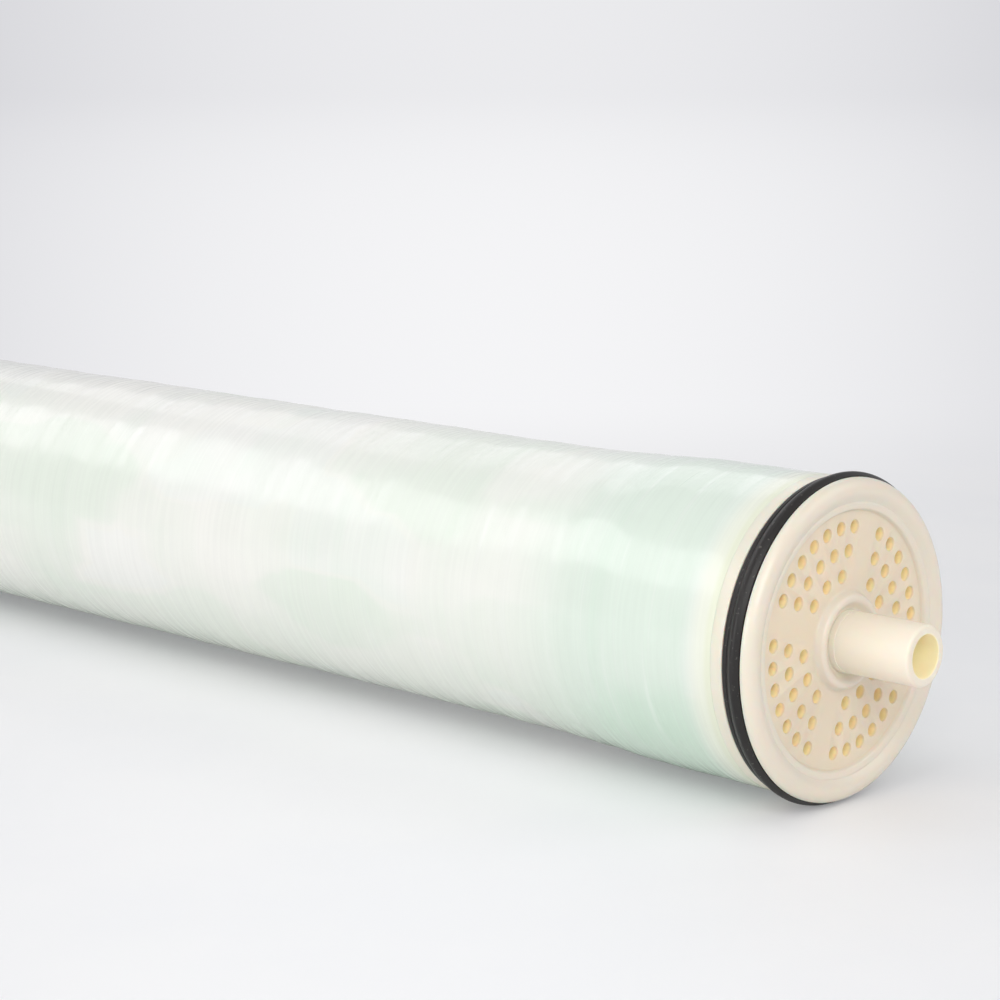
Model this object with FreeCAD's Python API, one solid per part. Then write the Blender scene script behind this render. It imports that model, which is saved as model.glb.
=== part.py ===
import FreeCAD, Part

import math
import os

from FreeCAD import Vector

# Spiral-wound reverse osmosis element, 4 inch by 40 inch, in millimetres.
# The tube's axis is X with the feed end at +X, +Z is up, and the origin is on the axis at mid-length.

# Overall
overall_length = 1016.0
stub_length = 26.7
fit_gap = 0.05
cut_extra = 5.0
ring_sides = 40

# Permeate tube
tube_diameter = 19.4
tube_bore = 13.2
stub_diameter = 19.05
stub_turned_length = 26.4
tube_end_chamfer = 1.0
perforation_diameter = 3.2
perforation_pitch = 100.0
perforation_sides = 4
perforation_end_margin = 40.0

# End cap: rim, recessed disc and hub. The overhang is how far the rim stands out past the band, all round
rim_overhang = 0.6
rim_thickness = 3.6
rim_bevel_depth = 1.9
rim_bevel_width = 3.0
rim_crest_width = 3.2
rim_slope_depth = 1.3
rim_slope_width = 2.4
recess_depth = 3.0
recess_diameter = 79.6
disc_thickness = 4.0
hub_diameter = 30.8
hub_slope_width = 1.9
hub_crest_width = 1.5
hub_groove_depth = 2.2
sleeve_wall = 2.8

# End cap: flow holes, in four groups of three rings
hole_diameter = 4.5
hole_sides = 6
hole_groups = 4
hole_rings = (
    {"radius": 34.8, "count": 7, "step_deg": 11.25},
    {"radius": 27.4, "count": 5, "step_deg": 15.0},
    {"radius": 19.9, "count": 3, "step_deg": 22.5},
)
hole_group_turn_deg = 27.0

# End cap: seal groove, band, skirt and ribs
groove_width = 7.2
groove_depth = 1.6
band_diameter = 98.6
band_width = 4.4
skirt_length = 37.0
skirt_wall = 2.2
rib_count = 8
rib_thickness = 2.5
rib_depth = 10.0

# Brine seal. The reaches are how far it stands out past the band, all round
seal_end_gap = 0.25
seal_lip_reach = 2.2
seal_heel_reach = 0.5
seal_crease_reach = 0.15
seal_heel_width = 2.0
seal_lip_rise = 3.0
seal_lip_fall = 1.3
seal_lip_thickness = 1.0
seal_cavity_depth = 3.4
seal_base_thickness = 0.7

# Rolled membrane: leaves and feed spacers share the turns of one spiral
leaf_count = 5
leaf_thickness = 0.6
spacer_thickness = 0.8
flats_per_turn = 10
roll_clearance = 0.1
tape_thickness = 0.25
shell_clearance = 0.05

# Fibreglass shell
shell_wall = 1.3
shell_ramp_length = 53.0

# Worked out from the sizes above
tube_half = overall_length / 2
face_x = tube_half - stub_length
disc_front_x = face_x - recess_depth
disc_back_x = disc_front_x - disc_thickness
roll_end_x = disc_back_x - rib_depth
groove_front_x = face_x - rim_thickness
groove_back_x = groove_front_x - groove_width
band_back_x = groove_back_x - band_width
skirt_end_x = band_back_x - skirt_length
tube_radius = tube_diameter / 2
hub_bore_radius = tube_radius + fit_gap
band_radius = band_diameter / 2
rim_radius = band_radius + rim_overhang
groove_floor_radius = band_radius - groove_depth
skirt_outer_radius = band_radius - shell_wall
skirt_inner_radius = skirt_outer_radius - skirt_wall
tape_outer_radius = skirt_inner_radius - fit_gap
roll_outer_radius = tape_outer_radius - tape_thickness
layer_thickness = leaf_thickness + spacer_thickness
turn_pitch = leaf_count * layer_thickness


def revolve(points):
    """Solid of revolution about the X axis from a closed outline of (x, radius) pairs."""
    corners = [Vector(x, 0, radius) for x, radius in points]
    outline = Part.makePolygon(corners + corners[:1])
    return Part.Face(outline).revolve(Vector(0, 0, 0), Vector(1, 0, 0), 360)


def flat_sided_ring(points):
    """The same outline carried round the X axis in ring_sides fine flats, closed to one solid."""
    sections = []
    for side in range(ring_sides):
        turn = 2 * math.pi * side / ring_sides
        sections.append([Vector(x, radius * math.cos(turn), radius * math.sin(turn)) for x, radius in points])
    faces = []
    for side, section in enumerate(sections):
        following = sections[(side + 1) % ring_sides]
        for index, corner in enumerate(section):
            step = (index + 1) % len(section)
            outline = [corner, section[step], following[step], following[index], corner]
            faces.append(Part.Face(Part.makePolygon(outline)))
    skin = Part.makeShell(faces)
    skin.sewShape()
    solid = Part.Solid(skin)
    if solid.Volume < 0:
        solid.reverse()
    return solid.removeSplitter()


def prism_along(start, direction, diameter, length, sides):
    """Many-sided bar whose area equals that of a round hole of the given diameter."""
    axis = Vector(direction)
    axis.normalize()
    reach = diameter / 2 * math.sqrt(2 * math.pi / (sides * math.sin(2 * math.pi / sides)))
    side = axis.cross(Vector(0, 0, 1))
    if side.Length < fit_gap:
        side = axis.cross(Vector(1, 0, 0))
    side.normalize()
    up = axis.cross(side)
    corners = []
    for index in range(sides):
        angle = 2 * math.pi * (index + 0.5) / sides
        offset = side * (reach * math.cos(angle)) + up * (reach * math.sin(angle))
        corners.append(Vector(start) + offset)
    base = Part.Face(Part.makePolygon(corners + corners[:1]))
    return base.extrude(axis * length)


def flow_holes():
    """Cutters for the 60 flow holes: four groups, each of 7, 5 and 3 holes in line with the group."""
    cutters = []
    length = disc_thickness + 2 * cut_extra
    for group in range(hole_groups):
        middle = hole_group_turn_deg + group * 360 / hole_groups
        for ring in hole_rings:
            for index in range(ring["count"]):
                turn = math.radians(middle + (index - (ring["count"] - 1) / 2) * ring["step_deg"])
                y = ring["radius"] * math.cos(turn)
                z = ring["radius"] * math.sin(turn)
                start = (disc_back_x - cut_extra, y, z)
                cutters.append(prism_along(start, (1, 0, 0), hole_diameter, length, hole_sides))
    return Part.makeCompound(cutters)


def cap_body():
    """Moulded end cap without holes or ribs: hub, recessed disc, fat rim, groove, band and skirt."""
    crest_outer = rim_radius - rim_bevel_width
    crest_inner = crest_outer - rim_crest_width
    hub_radius = hub_diameter / 2
    hub_crest_outer = hub_radius - hub_slope_width
    hub_crest_inner = hub_crest_outer - hub_crest_width
    sleeve_radius = hub_bore_radius + sleeve_wall
    return flat_sided_ring([
        (roll_end_x, hub_bore_radius),
        (face_x - hub_groove_depth, hub_bore_radius),
        (face_x, hub_crest_inner),
        (face_x, hub_crest_outer),
        (disc_front_x, hub_radius),
        (disc_front_x, recess_diameter / 2),
        (face_x - rim_slope_depth, crest_inner - rim_slope_width),
        (face_x, crest_inner),
        (face_x, crest_outer),
        (face_x - rim_bevel_depth, rim_radius),
        (groove_front_x, rim_radius),
        (groove_front_x, groove_floor_radius),
        (groove_back_x, groove_floor_radius),
        (groove_back_x, band_radius),
        (band_back_x, band_radius),
        (band_back_x, skirt_outer_radius),
        (skirt_end_x, skirt_outer_radius),
        (skirt_end_x, skirt_inner_radius),
        (disc_back_x, skirt_inner_radius),
        (disc_back_x, sleeve_radius),
        (roll_end_x, sleeve_radius),
    ])


def cap_ribs():
    """Radial ribs behind the disc, from the sleeve to the skirt, that hold the end of the roll."""
    inner = hub_bore_radius + sleeve_wall / 2
    outer = skirt_inner_radius + skirt_wall / 2
    ribs = []
    for index in range(rib_count):
        rib = Part.makeBox(rib_depth, outer - inner, rib_thickness)
        rib.translate(Vector(roll_end_x, inner, -rib_thickness / 2))
        turn = hole_group_turn_deg + 180 / hole_groups + index * 360 / rib_count
        rib.rotate(Vector(0, 0, 0), Vector(1, 0, 0), turn)
        ribs.append(rib)
    return ribs


def end_cap():
    body = cap_body().fuse(cap_ribs())
    return body.cut(flow_holes()).removeSplitter()


def mirrored_to_concentrate_end(shape):
    """The same moulding turned half a turn about Z, to face -X."""
    turned = shape.copy()
    turned.rotate(Vector(0, 0, 0), Vector(0, 0, 1), 180)
    return turned


def brine_seal():
    """Rubber U-cup in the feed cap's groove: heel at the back, then a humped lip, open to the feed side."""
    back = groove_back_x + seal_end_gap
    front = groove_front_x - seal_end_gap
    inner = groove_floor_radius + fit_gap
    heel = band_radius + seal_heel_reach
    lip = band_radius + seal_lip_reach
    crease_x = back + seal_heel_width
    lip_x = crease_x + seal_lip_rise
    lip_end = lip - seal_lip_fall
    cavity_x = front - seal_cavity_depth
    return flat_sided_ring([
        (back, inner),
        (back, heel - seal_base_thickness),
        (back + seal_base_thickness, heel),
        (crease_x, band_radius + seal_crease_reach),
        (lip_x, lip),
        (front, lip_end),
        (front, lip_end - seal_lip_thickness),
        (cavity_x, inner + seal_base_thickness),
        (front, inner + seal_base_thickness),
        (front, inner),
    ])


def permeate_tube():
    """Central tube with turned stubs, drilled across in pairs turned a quarter from pair to pair."""
    stub_radius = stub_diameter / 2
    half = [
        (tube_half - stub_turned_length, tube_radius),
        (tube_half - stub_turned_length, stub_radius),
        (tube_half - tube_end_chamfer, stub_radius),
        (tube_half, stub_radius - tube_end_chamfer),
        (tube_half, tube_bore / 2),
    ]
    other = [(-x, radius) for x, radius in reversed(half)]
    tube = revolve(half + other)
    reach = roll_end_x - perforation_end_margin
    count = int(2 * reach / perforation_pitch) + 1
    first = -(count - 1) * perforation_pitch / 2
    drills = []
    for index in range(count):
        across = (0, 1, 0) if index % 2 else (0, 0, 1)
        x = first + index * perforation_pitch
        start = Vector(x, 0, 0) - Vector(across) * tube_diameter
        drills.append(prism_along(start, across, perforation_diameter, 2 * tube_diameter, perforation_sides))
    return tube.cut(Part.makeCompound(drills))


def spiral_strip(inner_offset, outer_offset, turn_deg):
    """One strip of the roll: flats on a spiral, between two radial offsets, as long as the roll."""
    start_radius = (tube_radius + roll_clearance) / math.cos(math.pi / flats_per_turn)
    last_radius = roll_outer_radius - layer_thickness
    steps = int((last_radius - start_radius) / turn_pitch * flats_per_turn)
    inner_side = []
    outer_side = []
    for step in range(steps + 1):
        angle = 2 * math.pi * step / flats_per_turn + math.radians(turn_deg)
        radius = start_radius + turn_pitch * step / flats_per_turn
        across = Vector(0, math.cos(angle), math.sin(angle))
        inner_side.append(across * (radius + inner_offset))
        outer_side.append(across * (radius + outer_offset))
    outline = inner_side + outer_side[::-1]
    face = Part.Face(Part.makePolygon(outline + outline[:1]))
    face.translate(Vector(-roll_end_x, 0, 0))
    return face.extrude(Vector(2 * roll_end_x, 0, 0))


def membrane_leaf(number):
    """Glued envelope: membrane, permeate carrier and membrane, closed on three edges."""
    return spiral_strip(0, leaf_thickness, number * 360 / leaf_count)


def feed_spacer(number):
    """Feed channel net that lies on its leaf and under the next one."""
    return spiral_strip(leaf_thickness, layer_thickness, number * 360 / leaf_count)


def wrap_tape():
    """Tape round the finished roll, under the shell and the cap skirts."""
    return flat_sided_ring([
        (-roll_end_x, roll_outer_radius),
        (-roll_end_x, tape_outer_radius),
        (roll_end_x, tape_outer_radius),
        (roll_end_x, roll_outer_radius),
    ])


def fiberglass_shell():
    """Glass and resin wound over the roll and both skirts, thicker towards each cap."""
    body_inner = tape_outer_radius + shell_clearance
    body_outer = body_inner + shell_wall
    end_inner = skirt_outer_radius + shell_clearance
    end_outer = band_radius
    step_x = skirt_end_x - fit_gap
    ramp_x = skirt_end_x - shell_ramp_length
    end_x = band_back_x - fit_gap
    half = [
        (ramp_x, body_outer),
        (skirt_end_x, end_outer),
        (end_x, end_outer),
        (end_x, end_inner),
        (step_x, end_inner),
        (step_x, body_inner),
    ]
    other = [(-x, radius) for x, radius in reversed(half)]
    return flat_sided_ring(half + other)


def export(name, shape):
    shape.exportStep("parts/" + name + ".step")


def build():
    os.makedirs("parts", exist_ok=True)
    feed_cap = end_cap()
    export("feed_end_cap", feed_cap)
    export("concentrate_end_cap", mirrored_to_concentrate_end(feed_cap))
    export("brine_seal", brine_seal())
    export("permeate_tube", permeate_tube())
    export("fiberglass_shell", fiberglass_shell())
    export("wrap_tape", wrap_tape())
    for number in range(leaf_count):
        export("membrane_leaf_" + str(number + 1), membrane_leaf(number))
        export("feed_spacer_" + str(number + 1), feed_spacer(number))


build()
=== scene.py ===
import math

import bpy
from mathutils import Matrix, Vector


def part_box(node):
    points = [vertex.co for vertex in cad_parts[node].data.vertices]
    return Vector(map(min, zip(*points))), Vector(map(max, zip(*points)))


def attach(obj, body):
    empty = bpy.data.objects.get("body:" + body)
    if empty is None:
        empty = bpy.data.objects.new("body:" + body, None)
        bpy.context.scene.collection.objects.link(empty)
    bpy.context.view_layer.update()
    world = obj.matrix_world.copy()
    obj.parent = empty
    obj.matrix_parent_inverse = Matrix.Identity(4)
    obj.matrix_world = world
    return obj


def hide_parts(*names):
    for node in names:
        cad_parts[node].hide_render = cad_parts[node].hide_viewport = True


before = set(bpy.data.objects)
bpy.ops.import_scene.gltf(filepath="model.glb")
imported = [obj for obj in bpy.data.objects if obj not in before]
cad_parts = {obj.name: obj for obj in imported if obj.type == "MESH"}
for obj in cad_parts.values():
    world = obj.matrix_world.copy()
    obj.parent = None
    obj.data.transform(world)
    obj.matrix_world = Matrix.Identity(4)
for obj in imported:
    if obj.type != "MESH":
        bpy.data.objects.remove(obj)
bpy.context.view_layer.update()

# Camera. It stands off the feed end, to the open side of the element, and looks down on it by ten degrees.
# Its lens and place are those that put the cap's holes, rim, seal and stub where the photograph has them.
photo_side_px = 1000
focal_length_px = 2653
sensor_width_mm = 36.0
sight_distance = 50
camera_place = Vector((0.9438, -0.6377, 0.1856))
camera_aim = Vector((0.3999, -0.0688, 0.0424))

camera_data = bpy.data.cameras.new("camera")
camera_data.sensor_width = sensor_width_mm
camera_data.lens = focal_length_px * sensor_width_mm / photo_side_px
camera_data.clip_end = sight_distance
camera = bpy.data.objects.new("camera", camera_data)
bpy.context.collection.objects.link(camera)
camera.location = camera_place
camera.rotation_euler = (camera_aim - camera_place).to_track_quat("-Z", "Y").to_euler()
bpy.context.scene.camera = camera


# Feed end cap. One ivory injection moulding: a fat rounded rim, a recessed disc with sixty flow holes in
# four groups, and a hub collar with a hollow groove round the tube. A skirt behind it goes under the shell.
cap_low, cap_high = [Vector(corner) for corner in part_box("feed_end_cap")]
face_x = cap_high.x
skirt_end_x = cap_low.x
rim_radius = 0.0499
recess_depth = 0.0030
recess_radius = 0.0398
disc_thickness = 0.0040
rim_thickness = 0.0036
bead_crest_radius = 0.0463
bead_back_depth = 0.0031
bead_foot_radius = 0.0426
bead_foot_depth = 0.0014
bead_start_turn = 1.35 * math.pi
step_radius = 0.0404
step_depth = 0.0014
step_drop = 0.0002
step_rise = 0.0001
step_end_gap = 0.0006
hub_radius = 0.0154
hub_crest_radius = 0.0130
hub_crest_width = 0.0013
hub_groove_depth = 0.0018
hub_bore_radius = 0.00975
sleeve_radius = 0.0126
rib_depth = 0.0100
rib_thickness = 0.0025
rib_count = 8
rib_sink = 0.0010
groove_width = 0.0072
groove_floor_radius = 0.0477
groove_fillet = 0.0003
disc_fillet = 0.0005
band_radius = 0.0493
band_width = 0.0044
skirt_radius = 0.0480
skirt_inner_radius = 0.0458
hole_radius = 0.00215
hole_lip = 0.00022
hole_lip_bend_depth = 0.3 * hole_lip
hole_lip_bend_width = 0.35 * hole_lip
hole_sides = 28
hole_groups = 4
hole_group_turn = math.radians(27)
hole_rings = (
    {"radius": 0.0348, "count": 7, "step": math.radians(11.25)},
    {"radius": 0.0274, "count": 5, "step": math.radians(15)},
    {"radius": 0.0199, "count": 3, "step": math.radians(22.5)},
)
disc_front_x = face_x - recess_depth
disc_back_x = disc_front_x - disc_thickness
groove_front_x = face_x - rim_thickness
groove_back_x = groove_front_x - groove_width
band_back_x = groove_back_x - band_width
roll_end_x = disc_back_x - rib_depth
round_sides = 160
weld_distance = 1e-6
ivory = (0.73, 0.66, 0.55)
ivory_pale = (0.75, 0.69, 0.59)
ivory_pink = (0.75, 0.63, 0.47)
ivory_painted_lit_through = (0.93, 0.78, 0.46)
ivory_painted_glow = (0.9, 0.66, 0.33)
ivory_dark = (0.0, 0.0, 0.0)


def clear_selection():
    bpy.ops.object.select_all(action="DESELECT")


def rounded(outline, steps=6):
    """The outline's corners as (x, radius), each with its own fillet turned into a short arc."""
    points = []
    for index, (x, radius, fillet) in enumerate(outline):
        corner = Vector((x, radius))
        if fillet == 0:
            points.append(corner)
            continue
        before = (Vector(outline[index - 1][:2]) - corner).normalized()
        after = (Vector(outline[(index + 1) % len(outline)][:2]) - corner).normalized()
        half = before.angle(after) / 2
        reach = fillet / math.tan(half)
        centre = corner + (before + after).normalized() * (fillet / math.sin(half))
        first = corner + before * reach - centre
        last = corner + after * reach - centre
        turn = math.atan2(first.x * last.y - first.y * last.x, first.dot(last))
        for step in range(steps + 1):
            part = turn * step / steps
            across = Vector((first.x * math.cos(part) - first.y * math.sin(part),
                             first.x * math.sin(part) + first.y * math.cos(part)))
            points.append(centre + across)
    return points


def turn_on_axis(name, outline, sides):
    """Closed outline of (x, radius) points, drawn out ring by ring from one circle and merged."""
    clear_selection()
    first = outline[0]
    bpy.ops.mesh.primitive_circle_add(vertices=sides, radius=first.y, location=(first.x, 0, 0),
                                      rotation=(0, math.pi / 2, 0))
    piece = bpy.context.object
    piece.name = name
    piece.data.name = name
    bpy.ops.object.transform_apply()
    bpy.ops.object.mode_set(mode="EDIT")
    bpy.ops.mesh.select_all(action="SELECT")
    last = first
    for point in list(outline[1:]) + [first]:
        bpy.ops.mesh.extrude_edges_move(TRANSFORM_OT_translate={"value": (point.x - last.x, 0, 0)})
        grow = point.y / last.y
        bpy.ops.transform.resize(value=(1, grow, grow), center_override=(0, 0, 0))
        last = point
    bpy.ops.mesh.select_all(action="SELECT")
    bpy.ops.mesh.remove_doubles(threshold=weld_distance)
    bpy.ops.mesh.normals_make_consistent(inside=False)
    bpy.ops.object.mode_set(mode="OBJECT")
    return piece


def join(pieces, name):
    clear_selection()
    for piece in pieces:
        piece.select_set(True)
    bpy.context.view_layer.objects.active = pieces[0]
    if len(pieces) > 1:
        bpy.ops.object.join()
    joined = bpy.context.object
    joined.name = name
    joined.data.name = name
    return joined


def merge_with(piece, tool, operation):
    """Adds or cuts away another closed mesh for good, and removes the tool."""
    modifier = piece.modifiers.new("shape", "BOOLEAN")
    modifier.operation = operation
    modifier.solver = "EXACT"
    modifier.object = tool
    clear_selection()
    bpy.context.view_layer.objects.active = piece
    piece.select_set(True)
    bpy.ops.object.modifier_apply(modifier=modifier.name)
    bpy.data.objects.remove(tool)


def smooth(piece, angle_deg=35):
    clear_selection()
    bpy.context.view_layer.objects.active = piece
    piece.select_set(True)
    bpy.ops.object.shade_smooth_by_angle(angle=math.radians(angle_deg))


def hole_cutter():
    """A drill for one flow hole, with a small flare where it leaves the disc's front and back."""
    back = disc_back_x
    front = disc_front_x
    flare = hole_radius + hole_lip
    clear_of_disc = 0.001
    outline = [
        Vector((back - clear_of_disc, flare)),
        Vector((back, flare)),
        Vector((back + hole_lip, hole_radius)),
        Vector((front - hole_lip, hole_radius)),
        Vector((front - hole_lip_bend_depth, hole_radius + hole_lip_bend_width)),
        Vector((front, flare)),
        Vector((front + clear_of_disc, flare)),
    ]
    clear_selection()
    first = outline[0]
    bpy.ops.mesh.primitive_circle_add(vertices=hole_sides, radius=first.y, location=(first.x, 0, 0),
                                      rotation=(0, math.pi / 2, 0), fill_type="NGON")
    drill = bpy.context.object
    bpy.ops.object.transform_apply()
    bpy.ops.object.mode_set(mode="EDIT")
    bpy.ops.mesh.select_all(action="SELECT")
    for last, point in zip(outline, outline[1:]):
        bpy.ops.mesh.extrude_region_move(TRANSFORM_OT_translate={"value": (point.x - last.x, 0, 0)})
        grow = point.y / last.y
        bpy.ops.transform.resize(value=(1, grow, grow), center_override=(0, 0, 0))
    bpy.ops.mesh.select_all(action="SELECT")
    bpy.ops.mesh.normals_make_consistent(inside=False)
    bpy.ops.object.mode_set(mode="OBJECT")
    return drill


def hole_cutters():
    drill = hole_cutter()
    drills = []
    for group in range(hole_groups):
        middle = hole_group_turn + group * 2 * math.pi / hole_groups
        for ring in hole_rings:
            for index in range(ring["count"]):
                turn = middle + (index - (ring["count"] - 1) / 2) * ring["step"]
                copy = drill.copy()
                copy.data = drill.data.copy()
                copy.location = (0, ring["radius"] * math.cos(turn), ring["radius"] * math.sin(turn))
                bpy.context.collection.objects.link(copy)
                drills.append(copy)
    bpy.data.objects.remove(drill)
    cutters = join(drills, "flow_holes")
    bpy.ops.object.transform_apply()
    return cutters


def cap_ribs():
    """Ribs behind the disc, each sunk a little into the disc, the sleeve and the skirt that it joins."""
    ribs = []
    depth = rib_depth + rib_sink
    length = skirt_inner_radius - sleeve_radius + 2 * rib_sink
    middle = (skirt_inner_radius + sleeve_radius) / 2
    for index in range(rib_count):
        turn = hole_group_turn + math.pi / hole_groups + index * 2 * math.pi / rib_count
        clear_selection()
        bpy.ops.mesh.primitive_cube_add(size=1, location=(roll_end_x + depth / 2, 0, 0))
        rib = bpy.context.object
        rib.scale = (depth, length, rib_thickness)
        rib.location.y = middle * math.cos(turn)
        rib.location.z = middle * math.sin(turn)
        rib.rotation_euler.x = turn
        bpy.ops.object.transform_apply()
        ribs.append(rib)
    return join(ribs, "ribs")


def swept(first, last, start_turn, end_turn, steps=9):
    """Part of a cosine wave between two (x, radius) points, from one turn of the wave to another."""
    low = math.cos(start_turn)
    high = math.cos(end_turn)
    points = []
    for step in range(steps + 1):
        turn = start_turn + (end_turn - start_turn) * step / steps
        along = (math.cos(turn) - low) / (high - low)
        part = step / steps
        points.append((first[0] + (last[0] - first[0]) * along, first[1] + (last[1] - first[1]) * part, 0))
    return points


def bead_back(steps=8):
    """Elliptical outer side of the rim's bead, from its crest to the outer wall."""
    points = []
    for step in range(1, steps + 1):
        turn = math.pi / 2 * step / steps
        x = face_x - bead_back_depth * (1 - math.cos(turn))
        points.append((x, bead_crest_radius + (rim_radius - bead_crest_radius) * math.sin(turn), 0))
    return points


collar_inside = swept((face_x - hub_groove_depth, hub_bore_radius), (face_x, hub_crest_radius),
                      math.pi, 2 * math.pi)
bead_inside = swept((face_x - bead_foot_depth, bead_foot_radius), (face_x, bead_crest_radius),
                    bead_start_turn, 2 * math.pi)
cap_outline = rounded([
    (roll_end_x, hub_bore_radius, 0),
    *collar_inside,
    (face_x, hub_crest_radius + hub_crest_width, 0.0015),
    (disc_front_x, hub_radius, 0.0012),
    (disc_front_x, recess_radius, disc_fillet),
    (face_x - step_depth - step_drop, step_radius, 0.0009),
    (face_x - step_depth + step_rise, bead_foot_radius - step_end_gap, 0.0004),
    *bead_inside,
    *bead_back(),
    (groove_front_x, rim_radius, 0.0002),
    (groove_front_x, groove_floor_radius, groove_fillet),
    (groove_back_x, groove_floor_radius, groove_fillet),
    (groove_back_x, band_radius, groove_fillet),
    (band_back_x, band_radius, groove_fillet),
    (band_back_x, skirt_radius, 0),
    (skirt_end_x, skirt_radius, 0),
    (skirt_end_x, skirt_inner_radius, 0),
    (disc_back_x, skirt_inner_radius, disc_fillet),
    (disc_back_x, sleeve_radius, disc_fillet),
    (roll_end_x, sleeve_radius, 0),
])
feed_cap = turn_on_axis("feed_cap_moulding", cap_outline, round_sides)
merge_with(feed_cap, cap_ribs(), "UNION")
merge_with(feed_cap, hole_cutters(), "DIFFERENCE")
smooth(feed_cap, 30)


class Shade:
    """A socket of a material's nodes. Arithmetic on it adds Math nodes."""

    def __init__(self, tree, socket):
        self.tree = tree
        self.socket = socket

    def node(self, kind, inputs, output=0, **settings):
        """Adds a node, sets its settings first and then the values or links of its sockets."""
        made = self.tree.nodes.new("ShaderNode" + kind)
        for name, value in settings.items():
            setattr(made, name, value)
        for key, value in inputs.items():
            if isinstance(value, Shade):
                self.tree.links.new(value.socket, made.inputs[key])
            else:
                made.inputs[key].default_value = value
        return Shade(self.tree, made.outputs[output])

    def math(self, operation, *others):
        """A Math node whose first value is this one."""
        return self.node("Math", dict(enumerate((self, *others))), operation=operation)

    def __add__(self, other):
        return self.math("ADD", other)

    __radd__ = __add__

    def __sub__(self, other):
        return self.math("SUBTRACT", other)

    def __rsub__(self, other):
        return self.math("MULTIPLY_ADD", -1.0, other)

    def __mul__(self, other):
        return self.math("MULTIPLY", other)

    __rmul__ = __mul__

    def __truediv__(self, other):
        return self.math("DIVIDE", other)

    def between(self, low, high):
        """Rises smoothly from 0 at low to 1 at high."""
        return self.node("MapRange", {0: self, 1: low, 2: high, 3: 0.0, 4: 1.0},
                         interpolation_type="SMOOTHSTEP", clamp=True)

    def mix(self, first, second):
        """A colour between two colours, by this number."""
        made = self.tree.nodes.new("ShaderNodeMix")
        made.data_type = "RGBA"
        for key, value in ((0, self), (6, first), (7, second)):
            if isinstance(value, Shade):
                self.tree.links.new(value.socket, made.inputs[key])
            else:
                made.inputs[key].default_value = (*value, 1)
        return Shade(self.tree, made.outputs[2])

    def noise(self, scale, detail=2.0, roughness=0.5):
        """Noise read at this vector."""
        inputs = {"Vector": self, "Scale": scale, "Detail": detail, "Roughness": roughness}
        return self.node("TexNoise", inputs)

    def parts(self):
        """The x, y and z of this vector."""
        made = self.tree.nodes.new("ShaderNodeSeparateXYZ")
        self.tree.links.new(self.socket, made.inputs[0])
        return [Shade(self.tree, made.outputs[index]) for index in range(3)]


def new_finish(name, **constants):
    """A material with its Principled shader's constants set, and its Object coordinates."""
    material = bpy.data.materials.new(name)
    material.use_nodes = True
    tree = material.node_tree
    shader = tree.nodes["Principled BSDF"]
    for key, value in constants.items():
        shader.inputs[key.replace("_", " ")].default_value = value
    place = Shade(tree, tree.nodes.new("ShaderNodeTexCoord").outputs["Object"])
    return material, shader, place


def feed(shader, **sources):
    for key, source in sources.items():
        source.tree.links.new(source.socket, shader.inputs[key.replace("_", " ")])


def axis_distance(y, z):
    return (y * y + z * z).math("SQRT")


def moulded_ivory(name, end):
    """Ivory: pinker on the flat disc, with faint flow marks and a soft gloss. Inside the holes it is
    painted a lighter yellow-tan, and the holes and the collar's groove glow a little: painted light shining
    through the plastic.
    The end is 1 for the cap that faces +X and -1 for the one that faces -X."""
    material, shader, place = new_finish(name, Coat_Weight=0.25, Coat_Roughness=0.12,
                                         Subsurface_Weight=0.35, Subsurface_Scale=0.006,
                                         Emission_Strength=0.07)
    x, y, z = place.parts()
    depth = face_x - x * end
    radius = axis_distance(y, z)
    in_recess = 1 - radius.between(recess_radius + 0.0002, recess_radius + 0.0014)
    in_skirt = 1 - radius.between(skirt_inner_radius - 0.0013, skirt_inner_radius - 0.0003)
    on_disc = depth.between(recess_depth - 0.0008, recess_depth - 0.0001) * in_recess
    in_hole = depth.between(recess_depth + 0.0001, recess_depth + 0.0012) * in_skirt
    clouds = place.noise(60.0, 3.0)
    flow = place.noise(420.0, 4.0, 0.6)
    colour = (clouds * 0.5).mix(ivory, ivory_pale)
    colour = (on_disc * 0.75).mix(colour, ivory_pink)
    # Painted light: the holes' walls are painted lighter and yellower, as if lit through the plastic.
    colour = in_hole.mix(colour, ivory_painted_lit_through)
    height = flow * 0.5 + clouds
    bump = place.node("Bump", {"Strength": 0.06, "Distance": 0.0004, "Height": height})
    in_collar = 1 - radius.between(hub_crest_radius - 0.0018, hub_crest_radius - 0.0002)
    in_collar = in_collar * depth.between(0.0002, hub_groove_depth)
    # Painted glow: the holes and the collar's groove give off a little light of their own.
    painted_glow_colour = in_hole.math("MAXIMUM", in_collar).mix(ivory_dark, ivory_painted_glow)
    feed(shader, Base_Color=colour, Roughness=flow * 0.12 + 0.26, Emission_Color=painted_glow_colour, Normal=bump)
    return material


feed_cap.data.materials.append(moulded_ivory("moulded ivory", 1))
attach(feed_cap, "root")
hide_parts("feed_end_cap")


# Concentrate end cap. The same moulding, turned half round to face the other way, with its seal groove
# empty. It is glued on the far end of the roll and caught under the shell like the first.
concentrate_cap = feed_cap.copy()
concentrate_cap.data = feed_cap.data.copy()
concentrate_cap.name = "concentrate_cap_moulding"
concentrate_cap.data.name = "concentrate_cap_moulding"
bpy.context.collection.objects.link(concentrate_cap)
clear_selection()
bpy.context.view_layer.objects.active = concentrate_cap
concentrate_cap.select_set(True)
concentrate_cap.rotation_euler = (0, 0, math.pi)
bpy.ops.object.transform_apply()
concentrate_cap.data.materials.clear()
concentrate_cap.data.materials.append(moulded_ivory("moulded ivory, far end", -1))
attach(concentrate_cap, "root")
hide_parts("concentrate_end_cap")


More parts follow.
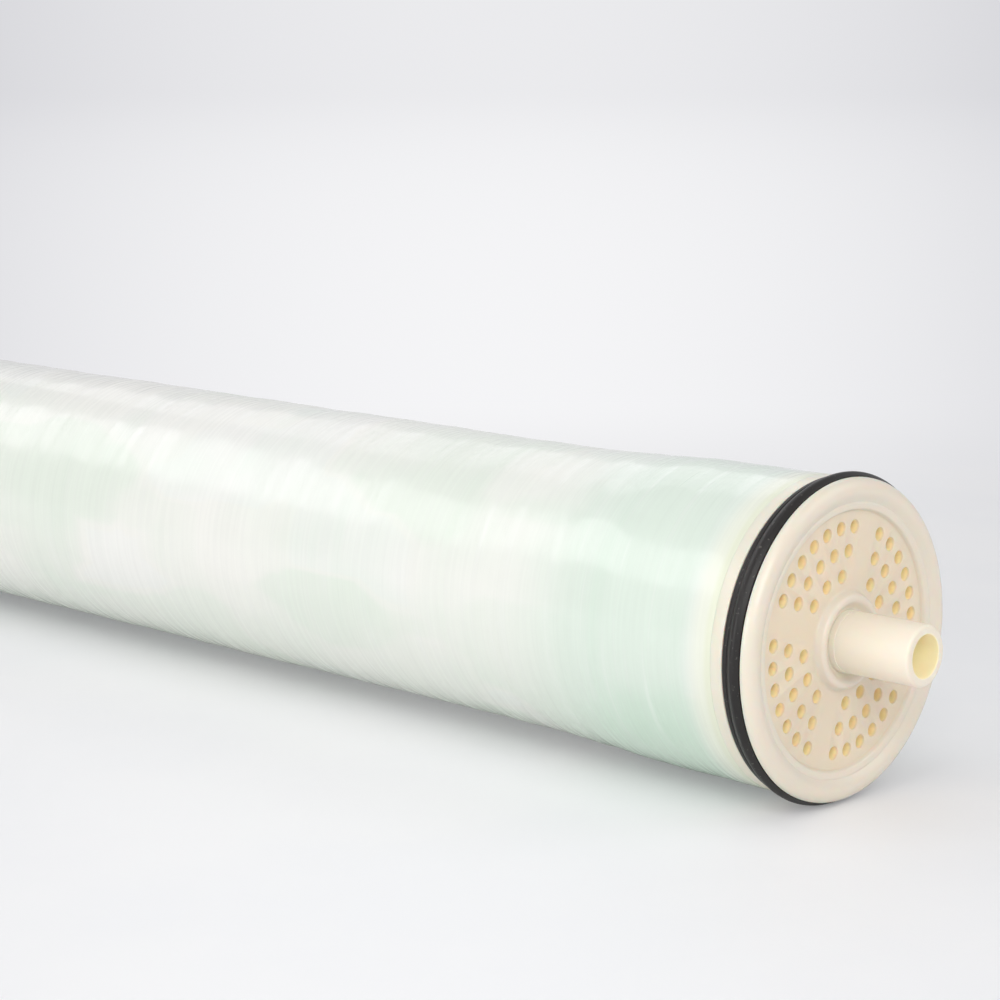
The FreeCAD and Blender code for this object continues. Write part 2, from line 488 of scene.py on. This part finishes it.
# Brine seal. A black rubber U-cup stretched into the feed cap's groove. Its heel shows as a narrow ridge at
# the back, then a crease, then the lip that flares out towards the rim and seals against the vessel.
seal_low, seal_high = [Vector(corner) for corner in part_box("brine_seal")]
seal_back_x = seal_low.x
seal_front_x = seal_high.x
seal_lip_radius = seal_high.z
seal_inner_radius = 0.04775
seal_heel_radius = 0.0498
seal_crease_radius = 0.04955
seal_heel_width = 0.0019
seal_crease_round = 0.0003
seal_shoulder_rise = 0.0017
seal_shoulder_drop = 0.0006
seal_lip_rise = 0.0030
seal_cavity_depth = 0.0034
seal_base_wall = 0.0007
seal_wall = 0.0010
seal_front_radius = 0.0501
corner_allowance = 0.0001
rubber_black = (0.012, 0.011, 0.011)
rubber_worn = (0.036, 0.031, 0.027)
rubber_dust = (0.20, 0.19, 0.17)
crease_x = seal_back_x + seal_heel_width
seal_outline = rounded([
    (seal_back_x, seal_inner_radius, 0),
    (seal_back_x, seal_heel_radius, 0.0008),
    (crease_x - seal_crease_round, seal_heel_radius, seal_crease_round),
    (crease_x, seal_crease_radius, 0),
    (crease_x + seal_crease_round, seal_heel_radius + corner_allowance, seal_crease_round),
    (crease_x + seal_shoulder_rise, seal_lip_radius - seal_shoulder_drop, 0.0012),
    (crease_x + seal_lip_rise, seal_lip_radius + corner_allowance, 0.0016),
    (seal_front_x, seal_front_radius, 0.0004),
    (seal_front_x, seal_front_radius - seal_wall, 0.0002),
    (seal_front_x - seal_cavity_depth, seal_inner_radius + seal_base_wall + corner_allowance, 0.0003),
    (seal_front_x, seal_inner_radius + seal_base_wall, 0.0002),
    (seal_front_x, seal_inner_radius, 0),
])
seal = turn_on_axis("brine_seal_ring", seal_outline, round_sides)
smooth(seal, 45)
material, shader, place = new_finish("black rubber", Specular_IOR_Level=0.32)
specks = place.noise(900.0, 2.0).between(0.66, 0.74)
bloom = place.noise(35.0, 3.0)
grain = place.noise(2400.0, 2.0)
colour = (bloom * 0.35).mix(rubber_black, rubber_worn)
colour = (specks * 0.35).mix(colour, rubber_dust)
bump = place.node("Bump", {"Strength": 0.12, "Distance": 0.0002, "Height": grain + bloom * 2})
feed(shader, Base_Color=colour, Roughness=bloom * 0.25 + 0.28, Normal=bump)
seal.data.materials.append(material)
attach(seal, "root")
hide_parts("brine_seal")


# Permeate tube. A thick cream tube down the middle that carries the clean water out. Its stubs are turned
# down a little where adapters slide on, with a rounded lip, and it is drilled through along the roll.
tube_end_x = Vector(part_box("permeate_tube")[1]).x
tube_radius = 0.0097
stub_radius = 0.009525
stub_length = 0.0264
bore_radius = 0.0066
lip_fillet = 0.0011
bore_fillet = 0.0003
perforation_radius = 0.0016
perforation_sides = 16
perforation_count = 9
perforation_pitch = 0.100
tube_sides = 96
cream = (0.80, 0.735, 0.615)
cream_pale = (0.82, 0.76, 0.65)
cream_core_painted_lit = (0.84, 0.76, 0.50)
core_painted_glow = (0.92, 0.86, 0.50)
core_dark = (0.0, 0.0, 0.0)
tube_outline = rounded([
    (-tube_end_x, bore_radius, bore_fillet),
    (-tube_end_x, stub_radius, lip_fillet),
    (-tube_end_x + stub_length, stub_radius, 0),
    (-tube_end_x + stub_length, tube_radius, 0),
    (tube_end_x - stub_length, tube_radius, 0),
    (tube_end_x - stub_length, stub_radius, 0),
    (tube_end_x, stub_radius, lip_fillet),
    (tube_end_x, bore_radius, bore_fillet),
])
tube = turn_on_axis("permeate_tube_turned", tube_outline, tube_sides)
drills = []
for index in range(perforation_count):
    clear_selection()
    place_x = (index - (perforation_count - 1) / 2) * perforation_pitch
    quarter = math.pi / 2 if index % 2 else 0
    bpy.ops.mesh.primitive_cylinder_add(vertices=perforation_sides, radius=perforation_radius,
                                        depth=4 * tube_radius, location=(place_x, 0, 0),
                                        rotation=(quarter, 0, 0))
    bpy.ops.object.transform_apply()
    drills.append(bpy.context.object)
merge_with(tube, join(drills, "perforations"), "DIFFERENCE")
smooth(tube, 30)
material, shader, place = new_finish("cream tube", Subsurface_Weight=0.3, Subsurface_Scale=0.006,
                                     Emission_Strength=0.10)
x, y, z = place.parts()
inside = 1 - axis_distance(y, z).between(bore_radius - 0.0001, bore_radius + 0.0006)
clouds = place.noise(45.0, 3.0)
scuffs = place.noise(260.0, 3.0)
colour = (clouds * 0.6).mix(cream, cream_pale)
# Painted light: the bore is painted yellower, as if lit through the tube's wall.
colour = inside.mix(colour, cream_core_painted_lit)
bump = place.node("Bump", {"Strength": 0.02, "Distance": 0.0002, "Height": scuffs + clouds})
# Painted glow: the bore gives off a little light of its own.
glow = inside.mix(core_dark, core_painted_glow)
feed(shader, Base_Color=colour, Roughness=scuffs * 0.15 + 0.38, Emission_Color=glow, Normal=bump)
tube.data.materials.append(material)
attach(tube, "root")
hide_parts("permeate_tube")


# Fibreglass shell. Glass rovings wetted with resin and wound round the roll and both cap skirts, so it
# swells towards the caps and follows every uneven turn. The resin is glossy, white where the glass is thick
# and pale green where it is thin, with a yellow line of run-out resin at each skirt. Its underside is
# painted greener still: painted shade.
shell_high = Vector(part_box("fiberglass_shell")[1])
shell_end_x = shell_high.x
shell_body_radius = 0.04705
shell_end_radius = shell_high.z
shell_inner_radius = 0.04583
shell_skirt_radius = 0.04805
shell_bore_allowance = 0.0006
shell_fit_gap = 0.00005
shell_step_x = skirt_end_x - shell_fit_gap
shell_ramp_length = 0.053
shell_ramp_x = skirt_end_x - shell_ramp_length
shell_edge_drop = 0.0002
shell_edge_calm = 0.02
ring_spacing = 0.0025
shell_sides = 112
wave_height = 0.00009
waves = (
    {"height": 0.7, "per_metre": 83, "lobes": 2, "start": 0.0},
    {"height": 0.7, "per_metre": 137, "lobes": -3, "start": 1.0},
    {"height": 0.7, "per_metre": 263, "lobes": 1, "start": 2.0},
    {"height": 0.6, "per_metre": 49, "lobes": 5, "start": 0.0},
)
wave_crest = sum(wave["height"] for wave in waves)
glass_white = (0.742, 0.742, 0.712)
glass_green = (0.52, 0.65, 0.54)
glass_cream = (0.735, 0.725, 0.65)
glass_yellow = (0.66, 0.68, 0.53)
strand_white = (0.80, 0.81, 0.78)
glass_ivory = (0.70, 0.72, 0.60)


def shell_radius(place_x):
    """Smooth rise from the body to the thicker wall over the skirt."""
    rise = min(1.0, max(0.0, (abs(place_x) - shell_ramp_x) / (skirt_end_x - shell_ramp_x)))
    ease = rise * rise * (3 - 2 * rise)
    return shell_body_radius + (shell_end_radius - shell_body_radius) * ease


ring_count = int(2 * shell_end_x / ring_spacing)
shell_outline = []
for index in range(ring_count + 1):
    place_x = -shell_end_x + 2 * shell_end_x * index / ring_count
    shell_outline.append(Vector((place_x, shell_radius(place_x))))
shell_outline[0].y -= shell_edge_drop
shell_outline[-1].y -= shell_edge_drop
shell_outline += [
    Vector((shell_end_x, shell_skirt_radius)),
    Vector((shell_step_x, shell_skirt_radius)),
    Vector((shell_step_x, shell_inner_radius)),
    Vector((-shell_step_x, shell_inner_radius)),
    Vector((-shell_step_x, shell_skirt_radius)),
    Vector((-shell_end_x, shell_skirt_radius)),
]
shell = turn_on_axis("wound_shell", shell_outline, shell_sides)
for vertex in shell.data.vertices:
    radius = math.hypot(vertex.co.y, vertex.co.z)
    along = vertex.co.x
    on_bore = radius < shell_inner_radius + shell_bore_allowance
    in_skirt_seat = radius < shell_skirt_radius and abs(along) > shell_ramp_x
    if on_bore or in_skirt_seat:
        continue
    turn = math.atan2(vertex.co.z, vertex.co.y)
    height = 0
    for wave in waves:
        phase = wave["per_metre"] * along + wave["lobes"] * turn + wave["start"]
        height += wave["height"] * math.sin(phase)
    inward = min(1.0, (shell_end_x - abs(along)) / shell_edge_calm)
    grow = 1 + wave_height * (height - wave_crest) * inward / radius
    vertex.co.y *= grow
    vertex.co.z *= grow
smooth(shell, 40)

material, shader, place = new_finish("wound glass and resin", Coat_Roughness=0.1)
x, y, z = place.parts()
from_end = shell_end_x - x.math("ABSOLUTE")
turn = y.math("ARCTAN2", z)
lean_one = x + z * 0.045 + y * 0.020
lean_two = x - z * 0.050 + y * 0.030
strands = place.node("CombineXYZ", {0: lean_one * 560, 1: y * 14, 2: z * 14}).noise(1.0, 3.0, 0.6)
crossing = place.node("CombineXYZ", {0: lean_two * 900, 1: y * 22, 2: z * 22}).noise(1.0, 2.0, 0.5)
bundles = place.node("CombineXYZ", {0: lean_one * 75, 1: y * 6, 2: z * 6}).noise(1.0, 3.0, 0.5)
clouds = place.node("CombineXYZ", {0: x * 9, 1: y * 16, 2: z * 16}).noise(1.0, 3.0, 0.55)
laps = place.node("CombineXYZ", {0: lean_one * 17, 1: turn * 1.5, 2: 0.0})
block = laps.node("TexVoronoi", {"Vector": laps, "Scale": 1.0, "Smoothness": 0.25}, output=1,
                  feature="SMOOTH_F1", distance="CHEBYCHEV").parts()[0]
near_cap = from_end.between(0.002, 0.014) * (1 - from_end.between(0.045, 0.095))
# Painted shade: the shell is painted greener along its underside.
painted_underside_shade = 1 - z.between(-0.045, -0.010)
away = 1 - near_cap
green = (clouds.between(0.45, 0.68) * 0.25 + block.between(0.35, 0.8) * away * 0.3 + near_cap * 0.62
         + painted_underside_shade * 0.3 + bundles.between(0.5, 0.8) * 0.15)
green = green.math("MINIMUM", 1.0)
colour = green.mix(glass_white, glass_green)
colour = (block.between(0.1, 0.3) * away * 0.25).mix(colour, glass_cream)
colour = (strands.between(0.52, 0.74) * 0.2).mix(colour, strand_white)
colour = ((1 - from_end.between(0.003, 0.011)) * 0.75).mix(colour, glass_ivory)
run_out = 1 - from_end.between(0.0012, 0.0034)
colour = (run_out * 0.8).mix(colour, glass_yellow)
height = strands * 0.5 + crossing * 0.25 + bundles * 0.8
bump = place.node("Bump", {"Strength": 0.07, "Distance": 0.0006, "Height": height})
glaze = strands.between(0.38, 0.62) * 0.6 + bundles.between(0.4, 0.6) * 0.3 + near_cap * 0.25
feed(shader, Base_Color=colour, Roughness=strands * 0.3 + 0.2, Coat_Weight=glaze, Normal=bump)
shell.data.materials.append(material)
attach(shell, "root")
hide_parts("fiberglass_shell")


# The roll. Five glued membrane leaves and five feed spacers wound on the tube, and the tape that holds the
# roll shut. They are sealed in by the caps and the shell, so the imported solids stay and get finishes.
leaf_count = 5
seam_width = 0.03
seam_fade = 0.005
sheet_white = (0.82, 0.82, 0.78)
sheet_pale = (0.90, 0.90, 0.88)
sheet_glue = (0.78, 0.76, 0.66)
strands_per_metre = 1200
strand_slant = 60
net_clear = (0.70, 0.74, 0.74)
net_shade = (0.42, 0.46, 0.47)
wraps_per_metre = 125
wrap_slant = 3
tape_clear = (0.80, 0.82, 0.78)
tape_edge = (0.66, 0.70, 0.66)


def finish_node(node, material):
    slots = bpy.data.objects[node].data.materials
    slots.clear()
    slots.append(material)


def sheet_finish():
    """White polymer sheet with a fine weave, and a glue seam along each end."""
    material, shader, place = new_finish("membrane sheet")
    weave = place.noise(700.0, 2.0)
    from_middle = place.parts()[0].math("ABSOLUTE")
    seam = from_middle.between(roll_end_x - seam_width, roll_end_x - seam_width + seam_fade)
    colour = (seam * 0.7).mix(sheet_white, sheet_glue)
    colour = (weave * 0.3).mix(colour, sheet_pale)
    bump = place.node("Bump", {"Strength": 0.1, "Distance": 0.0002, "Height": weave})
    feed(shader, Base_Color=colour, Roughness=weave * 0.2 + 0.5, Normal=bump)
    return material


def net_finish():
    """Two crossing sets of plastic strands."""
    material, shader, place = new_finish("spacer net", Roughness=0.45)
    x, y, z = place.parts()
    turn = z.math("ARCTAN2", y)
    one = (x * strands_per_metre + turn * strand_slant).math("SINE")
    two = (x * strands_per_metre - turn * strand_slant).math("SINE")
    strand = one.math("MAXIMUM", two).between(0.6, 0.9)
    colour = strand.mix(net_shade, net_clear)
    bump = place.node("Bump", {"Strength": 0.5, "Distance": 0.0003, "Height": strand})
    feed(shader, Base_Color=colour, Normal=bump)
    return material


def tape_finish():
    """Clear tape whose turns lap over each other."""
    material, shader, place = new_finish("clear tape", Roughness=0.25)
    x, y, z = place.parts()
    wrap = (x * wraps_per_metre + y * wrap_slant).math("FRACT")
    edge = wrap.between(0.93, 0.97)
    colour = (edge * 0.5).mix(tape_clear, tape_edge)
    bump = place.node("Bump", {"Strength": 0.3, "Distance": 0.0002, "Height": edge})
    feed(shader, Base_Color=colour, Normal=bump)
    return material


sheet = sheet_finish()
net = net_finish()
for number in range(1, leaf_count + 1):
    finish_node("membrane_leaf_" + str(number), sheet)
    finish_node("feed_spacer_" + str(number), net)
finish_node("wrap_tape", tape_finish())


# Floor and light. A wide white sheet under the element, which far off fades into the even pale grey of the
# studio's backdrop. Softboxes stand to the camera's left and right, behind the element, overhead, and
# beyond the far end on the camera's side, whose reflection is the bright band along the shell.
floor_z = seal_low.z
floor_white = (0.90, 0.90, 0.905)
floor_cool = (0.87, 0.875, 0.89)
backdrop_light = (0.91, 0.91, 0.925)
backdrop_dim = (0.68, 0.68, 0.71)
fade_start = 1.1
fade_end = 1.65
shadow_lift = 0.22
sheet_start = 1.3
sheet_end = 2.2
floor_size = 60
wall_size = 24
wall_distance = 9.0
room_grey = (0.42, 0.42, 0.425)
view_ahead = Vector((camera_aim.x - camera_place.x, camera_aim.y - camera_place.y, 0)).normalized()
view_aside = Vector((view_ahead.y, -view_ahead.x, 0))


def backdrop_colour(place):
    """Dims a little to both sides of the camera's line and far off. It is even all over the near side."""
    from_camera = place.node("VectorMath", {0: place, 1: camera_place}, operation="SUBTRACT")
    ahead, aside = [place.node("VectorMath", {0: from_camera, 1: way}, output=1, operation="DOT_PRODUCT")
                    for way in (view_ahead, view_aside)]
    swing = aside / ahead
    dimmer = (swing * swing * 16).math("MINIMUM", 1.0) + ahead.between(1.6, 9.0) * 0.35
    return ahead, (dimmer * ahead.between(-0.4, 0.5)).mix(backdrop_light, backdrop_dim)


clear_selection()
bpy.ops.mesh.primitive_plane_add(size=floor_size, location=(-floor_size / 3, floor_size / 3, floor_z))
floor = bpy.context.object
floor.name = "studio_floor"
bpy.ops.object.transform_apply()
material, shader, place = new_finish("white sheet", Roughness=0.55, Specular_IOR_Level=0.3)
tree = material.node_tree
paper = place.noise(9.0, 4.0)
ahead, glow = backdrop_colour(place)
feed(shader, Base_Color=paper.between(0.35, 0.7).mix(floor_white, floor_cool))
emission = place.node("Emission", {"Color": glow, "Strength": 1.0})
by_camera = place.node("LightPath", {})
by_gloss = place.node("LightPath", {}, output=5)
from_middle = place.node("VectorMath", {0: place}, output=1, operation="LENGTH")
far_off = ahead.between(fade_start, fade_end).math("MAXIMUM", from_middle.between(sheet_start, sheet_end))
blend = by_camera * (far_off * (1 - shadow_lift) + shadow_lift) + by_gloss * far_off
surface = place.node("MixShader", {0: blend, 1: Shade(tree, shader.outputs[0]), 2: emission})
tree.links.new(surface.socket, tree.nodes["Material Output"].inputs["Surface"])
floor.data.materials.append(material)
clear_selection()
wall_middle = camera_place + view_ahead * wall_distance
wall_middle.z = floor_z + wall_size / 2
bpy.ops.mesh.primitive_plane_add(size=wall_size, location=wall_middle,
                                 rotation=view_ahead.to_track_quat("Z", "Y").to_euler())
backdrop = bpy.context.object
backdrop.name = "studio_backdrop"
bpy.ops.object.transform_apply()
backdrop.data.materials.append(material)

world = bpy.data.worlds.new("studio")
world.use_nodes = True
background = world.node_tree.nodes["Background"]
light_path = world.node_tree.nodes.new("ShaderNodeLightPath")
seen = Shade(world.node_tree, light_path.outputs["Is Camera Ray"])
feed(background, Color=seen.mix(room_grey, backdrop_light))
bpy.context.scene.world = world


def soft_light(name, place, aim, width, height, power):
    data = bpy.data.lights.new(name, "AREA")
    data.shape = "RECTANGLE"
    data.size = width
    data.size_y = height
    data.energy = power
    light = bpy.data.objects.new(name, data)
    bpy.context.collection.objects.link(light)
    light.location = place
    light.rotation_euler = (Vector(aim) - Vector(place)).to_track_quat("-Z", "Y").to_euler()


soft_light("far_softbox", (-1.35, -1.0, 1.33), (0.3, 0, 0), 2.2, 0.8, 9.5)
soft_light("left_softbox", (0.15, -1.7, 0.4), (0.3, 0, 0), 1.3, 0.7, 10)
soft_light("front_softbox", (1.7, -1.0, 0.95), (0.45, 0, 0), 1.3, 1.0, 16.5)
soft_light("right_softbox", (1.5, 0.9, 0.9), (0.45, 0, 0), 1.0, 1.0, 5)
soft_light("back_softbox", (-1.2, 1.3, 1.5), (0.1, 0, 0), 1.8, 1.0, 4)
soft_light("top_softbox", (0.2, -0.4, 1.9), (0.2, 0, 0), 1.6, 1.2, 5)

bpy.context.scene.view_settings.view_transform = "Standard"
